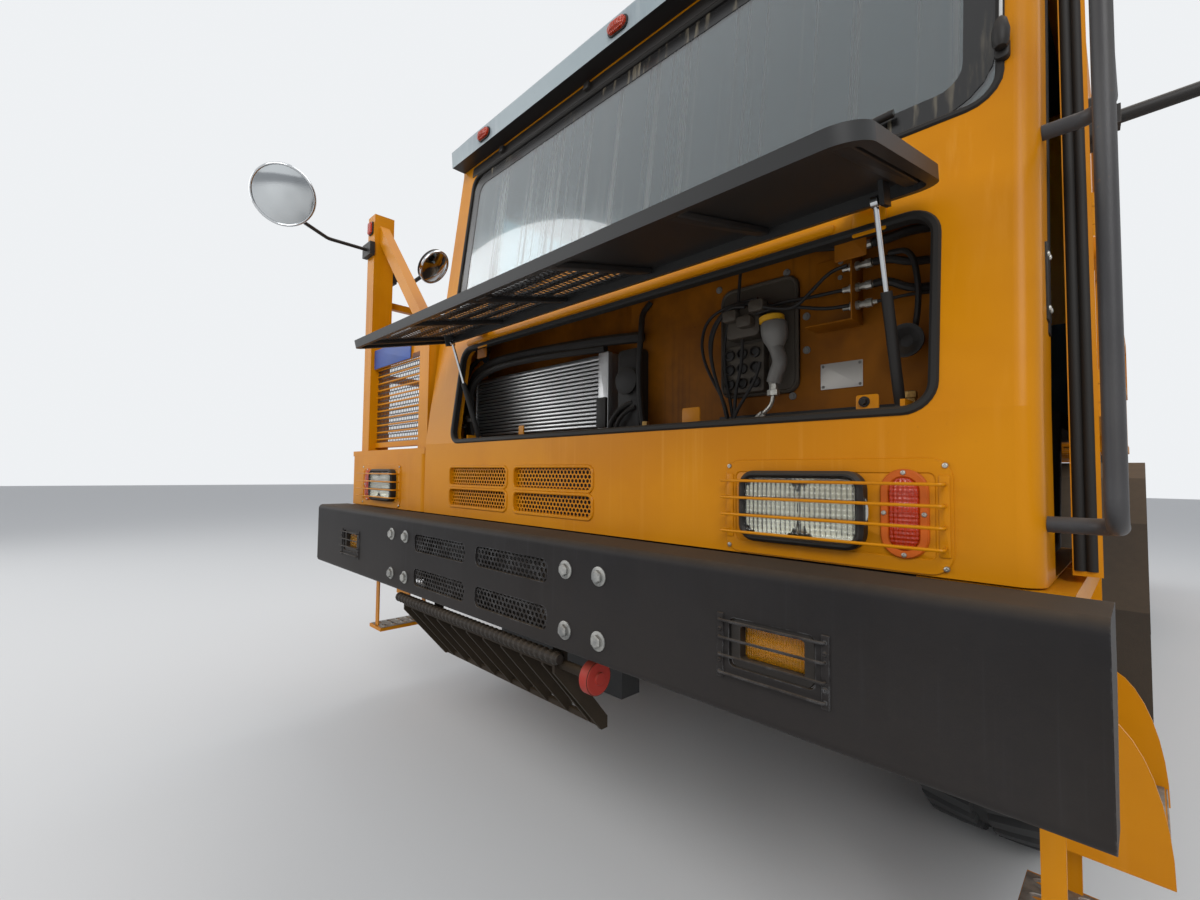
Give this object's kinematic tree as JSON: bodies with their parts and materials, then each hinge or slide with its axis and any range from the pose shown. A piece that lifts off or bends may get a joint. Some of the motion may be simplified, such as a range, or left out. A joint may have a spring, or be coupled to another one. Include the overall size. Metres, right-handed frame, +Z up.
{
  "type": "mining dump truck",
  "caption": "Wide-body mining dump truck with an offset cab, open front service hatch, walkway platform, twin rear wheels and a ribbed tipping body with a cab canopy.",
  "frame": {"origin": "ground level on the centre line, in the plane of the bumper's front face", "axes": "+X to the truck's left, +Y from the front bumper to the tail, +Z up"},
  "size_m": [4.0869, 9.7691, 3.96],
  "materials": {
    "body_yellow": "amber yellow gloss paint with dust",
    "bumper_grey": "dark grey satin paint with brown dust",
    "frame_black": "black chassis paint",
    "spring_steel": "dark spring steel",
    "engine_grey": "matt grey",
    "radiator_black": "matt black",
    "tank_grey": "dark grey paint",
    "visor_grey": "blue grey satin",
    "bare_aluminium": "dull",
    "window_glass": "clear with water marks",
    "seat_fabric": "woven",
    "cab_trim": "grained",
    "black_drum": "satin black",
    "fender_rubber": "matt",
    "rail_grey": "worn dark grey",
    "mirror_black": "matt",
    "wiper_black": "matt",
    "lamp_amber": "clear and amber lenses",
    "hatch_black": "satin black with dust",
    "strut_black": "gloss black",
    "rod_chrome": "polished",
    "tyre_rubber": "dusty",
    "wheel_yellow": "amber yellow paint"
  },
  "bodies": {
    "chassis": {"frame_rails": "frame_black", "front_bumper": "bumper_grey", "radiator_guard": "frame_black", "axles": "frame_black", "suspension": "spring_steel", "engine_block": "engine_grey", "drive_line": "frame_black", "radiator": "radiator_black", "side_tanks": "tank_grey", "cab_front": "body_yellow", "cab_left_side": "body_yellow", "cab_right_side": "body_yellow", "cab_rear": "body_yellow", "cab_roof": "body_yellow", "sun_visor": "visor_grey", "cab_floor": "body_yellow", "service_panel": "body_yellow", "bay_fittings": "bare_aluminium", "cab_glass": "window_glass", "driver_seat": "seat_fabric", "dashboard": "cab_trim", "platform_box": "body_yellow", "platform_frame": "body_yellow", "air_cleaner": "black_drum", "steps": "body_yellow", "front_fenders": "fender_rubber", "handrail": "rail_grey", "right_mirrors": "mirror_black", "wipers": "wiper_black", "lamps": "lamp_amber"},
    "left_knuckle": {"knuckle_left": "frame_black"},
    "right_knuckle": {"knuckle_right": "frame_black"},
    "track_rod": {"tie_rod": "frame_black"},
    "front_left_wheel": {"tyre_front_left": "tyre_rubber", "rim_front_left": "wheel_yellow"},
    "front_right_wheel": {"tyre_front_right": "tyre_rubber", "rim_front_right": "wheel_yellow"},
    "mid_left_wheels": {"tyres_mid_left": "tyre_rubber", "rims_mid_left": "wheel_yellow"},
    "mid_right_wheels": {"tyres_mid_right": "tyre_rubber", "rims_mid_right": "wheel_yellow"},
    "rear_left_wheels": {"tyres_rear_left": "tyre_rubber", "rims_rear_left": "wheel_yellow"},
    "rear_right_wheels": {"tyres_rear_right": "tyre_rubber", "rims_rear_right": "wheel_yellow"},
    "door": {"door_shell": "body_yellow", "door_glass": "window_glass", "left_mirrors": "mirror_black"},
    "hatch": {"hatch_panel": "hatch_black"},
    "hatch_barrels": {"strut_barrels": "strut_black"},
    "hatch_rods": {"strut_rods": "rod_chrome"},
    "dump_body": {"dump_floor": "body_yellow", "dump_left_side": "body_yellow", "dump_right_side": "body_yellow", "dump_front": "body_yellow"},
    "hoist_barrel": {"hoist_barrels": "frame_black"},
    "hoist_sleeve_1": {"hoist_sleeves_1": "rod_chrome"},
    "hoist_sleeve_2": {"hoist_sleeves_2": "rod_chrome"},
    "hoist_rod": {"hoist_rods": "rod_chrome"}
  },
  "joints": [
    {"name": "left_steer", "type": "hinge", "parent": "chassis", "child": "left_knuckle", "pos_m": [1.14, 1.87, 0.745], "axis": [0, 0, 1], "range_deg": [-32, 32]},
    {"name": "front_left_roll", "type": "hinge", "parent": "left_knuckle", "child": "front_left_wheel", "pos_m": [1.335, 1.87, 0.745], "axis": [1, 0, 0], "continuous": true},
    {"name": "right_steer", "type": "hinge", "parent": "chassis", "child": "right_knuckle", "pos_m": [-1.14, 1.87, 0.745], "axis": [0, 0, 1], "range_deg": [-32, 32]},
    {"name": "front_right_roll", "type": "hinge", "parent": "right_knuckle", "child": "front_right_wheel", "pos_m": [-1.335, 1.87, 0.745], "axis": [1, 0, 0], "continuous": true},
    {"name": "track_rod_swing", "type": "hinge", "parent": "left_knuckle", "child": "track_rod", "pos_m": [1.14, 2.14, 0.59], "axis": [0, 0, 1], "range_deg": [-33, 33]},
    {"name": "mid_left_roll", "type": "hinge", "parent": "chassis", "child": "mid_left_wheels", "pos_m": [1.29, 5.72, 0.745], "axis": [1, 0, 0], "continuous": true},
    {"name": "mid_right_roll", "type": "hinge", "parent": "chassis", "child": "mid_right_wheels", "pos_m": [-1.29, 5.72, 0.745], "axis": [1, 0, 0], "continuous": true},
    {"name": "rear_left_roll", "type": "hinge", "parent": "chassis", "child": "rear_left_wheels", "pos_m": [1.29, 7.37, 0.745], "axis": [1, 0, 0], "continuous": true},
    {"name": "rear_right_roll", "type": "hinge", "parent": "chassis", "child": "rear_right_wheels", "pos_m": [-1.29, 7.37, 0.745], "axis": [1, 0, 0], "continuous": true},
    {"name": "door_swing", "type": "hinge", "parent": "chassis", "child": "door", "pos_m": [1.68, 1.341, 2.1], "axis": [0, 0, 1], "range_deg": [-4, 66]},
    {"name": "hatch_lift", "type": "hinge", "parent": "chassis", "child": "hatch", "pos_m": [0.504, 0.212, 2.098], "axis": [1, 0, 0], "range_deg": [0, 69]},
    {"name": "strut_swing", "type": "hinge", "parent": "chassis", "child": "hatch_barrels", "pos_m": [0.505, 0.27, 1.625], "axis": [1, 0, 0], "range_deg": [-12.63, 0]},
    {"name": "strut_slide", "type": "slide", "parent": "hatch_barrels", "child": "hatch_rods", "axis": [0, -0.3328, 0.943], "range_m": [-0.0789, 0]},
    {"name": "bed_tip", "type": "hinge", "parent": "chassis", "child": "dump_body", "pos_m": [0, 8.15, 1.38], "axis": [-1, 0, 0], "range_deg": [0, 45]},
    {"name": "hoist_swing", "type": "hinge", "parent": "chassis", "child": "hoist_barrel", "pos_m": [0, 5, 0.69], "axis": [-1, 0, 0], "range_deg": [0, 20.3]},
    {"name": "hoist_slide_1", "type": "slide", "parent": "hoist_barrel", "child": "hoist_sleeve_1", "axis": [0, 0, 1], "range_m": [0, 0.7803]},
    {"name": "hoist_slide_2", "type": "slide", "parent": "hoist_sleeve_1", "child": "hoist_sleeve_2", "axis": [0, 0, 1], "range_m": [0, 0.7803]},
    {"name": "hoist_slide_3", "type": "slide", "parent": "hoist_sleeve_2", "child": "hoist_rod", "axis": [0, 0, 1], "range_m": [0, 0.7803]}
  ],
  "couplings": [
    {"joint": "right_steer", "follows": "left_steer", "ratio": 1},
    {"joint": "track_rod_swing", "follows": "left_steer", "ratio": -1},
    {"joint": "strut_swing", "follows": "hatch_lift", "ratio": -0.17866},
    {"joint": "strut_slide", "follows": "hatch_lift", "m_per_rad": -0.0647},
    {"joint": "hoist_swing", "follows": "bed_tip", "ratio": 0.44451},
    {"joint": "hoist_slide_1", "follows": "bed_tip", "m_per_rad": 0.99226},
    {"joint": "hoist_slide_2", "follows": "bed_tip", "m_per_rad": 0.99226},
    {"joint": "hoist_slide_3", "follows": "bed_tip", "m_per_rad": 0.99226}
  ]
}
